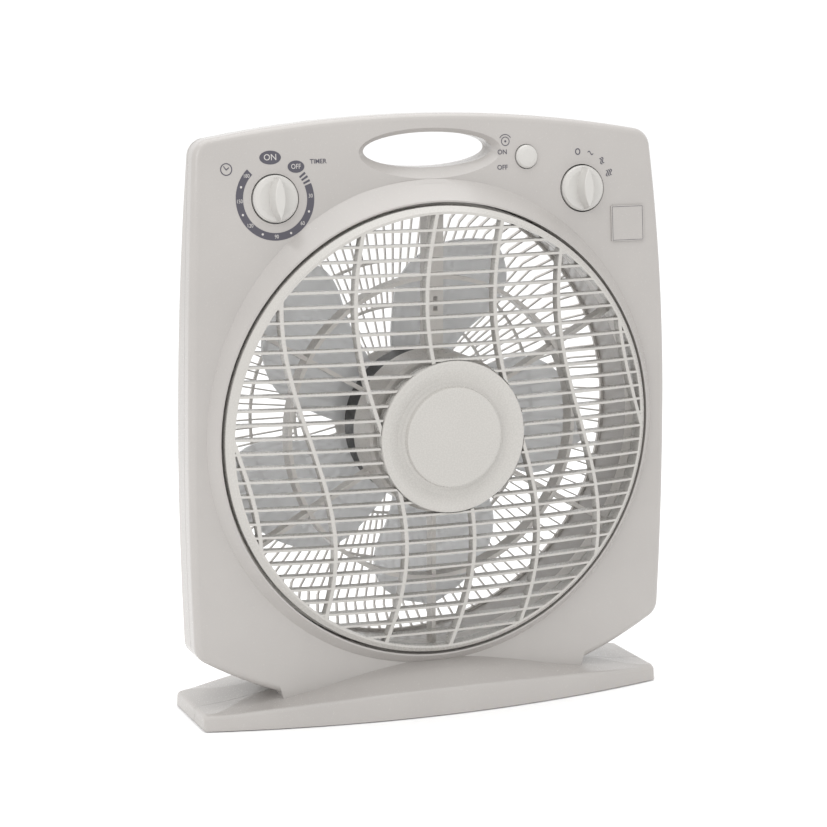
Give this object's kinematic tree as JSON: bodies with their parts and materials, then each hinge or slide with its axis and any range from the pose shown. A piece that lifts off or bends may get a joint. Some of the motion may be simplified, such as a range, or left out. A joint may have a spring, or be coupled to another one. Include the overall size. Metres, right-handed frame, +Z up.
{
  "type": "box fan",
  "caption": "Free-standing box fan with a rotating louvre grille, bladed impeller on a motor, timer knob, speed knob and louvre button.",
  "frame": {"origin": "on the floor, under the middle of the overall box, at the underside of the rubber feet", "axes": "+X to the right seen from the front, the front grille faces -Y, +Z up; the fan turns about a line along Y"},
  "size_m": [0.366, 0.138, 0.427],
  "materials": {
    "casing": "smooth semi-gloss moulding, warm light grey",
    "grille": "smooth semi-gloss moulding, warm off-white",
    "guard": "smooth moulding, warm light grey",
    "knob": "smooth gloss moulding",
    "badge": "satin plate without marking",
    "blade": "translucent cool grey, glossy",
    "nut": "smooth moulding",
    "motor_shell": "black baked enamel",
    "steel": "turned bright steel",
    "laminations": "stacked sheet steel",
    "windings": "enamelled winding wire with lacing",
    "bearing": "sintered bronze",
    "dark_plastic": "matt black moulding",
    "white_plastic": "matt white moulding",
    "rubber": "matt",
    "screw": "zinc plated"
  },
  "bodies": {
    "casing": {"front_casing": "casing", "rear_casing": "casing", "inner_guard": "guard", "louvre_motor_cover": "guard", "rear_guard": "guard", "louvre_motor": "motor_shell", "motor_front_shield": "motor_shell", "motor_rear_shield": "motor_shell", "front_bearing": "bearing", "rear_bearing": "bearing", "stator_core": "laminations", "stator_windings": "windings", "timer_switch": "white_plastic", "speed_switch": "dark_plastic", "louvre_switch": "dark_plastic", "name_badge": "badge", "run_capacitor": "dark_plastic", "capacitor_clip": "steel", "terminal_block": "white_plastic", "cord_gland": "dark_plastic", "rubber_feet": "rubber", "casing_screws": "screw", "inner_guard_screws": "screw", "rear_guard_screws": "screw", "motor_screws": "screw"},
    "impeller": {"fan_impeller": "blade", "impeller_nut": "nut", "motor_shaft": "steel", "impeller_pin": "steel", "rotor_core": "laminations"},
    "louvre": {"louvre_grille": "grille", "louvre_cap": "grille", "louvre_shaft": "steel", "louvre_screw": "screw"},
    "timer": {"timer_knob": "knob", "timer_spindle": "steel"},
    "speed": {"speed_knob": "knob", "speed_spindle": "steel"},
    "button": {"louvre_button": "knob", "button_plunger": "dark_plastic"}
  },
  "joints": [
    {"name": "fan_spin", "type": "hinge", "parent": "casing", "child": "impeller", "pos_m": [0, 0, 0.2036], "axis": [0, 1, 0], "continuous": true},
    {"name": "louvre_spin", "type": "hinge", "parent": "casing", "child": "louvre", "pos_m": [0, 0, 0.2036], "axis": [0, 1, 0], "continuous": true},
    {"name": "timer_turn", "type": "hinge", "parent": "casing", "child": "timer", "pos_m": [-0.1167, -0.02625, 0.3713], "axis": [0, 0.9944, -0.1053], "range_deg": [0, 313]},
    {"name": "speed_turn", "type": "hinge", "parent": "casing", "child": "speed", "pos_m": [0.1167, -0.02625, 0.3713], "axis": [0, 0.9944, -0.1053], "range_deg": [0, 71]},
    {"name": "louvre_push", "type": "slide", "parent": "casing", "child": "button", "axis": [0, 0.9926, -0.1213], "range_m": [0, 0.003], "stiffness_N_per_m": 300}
  ]
}
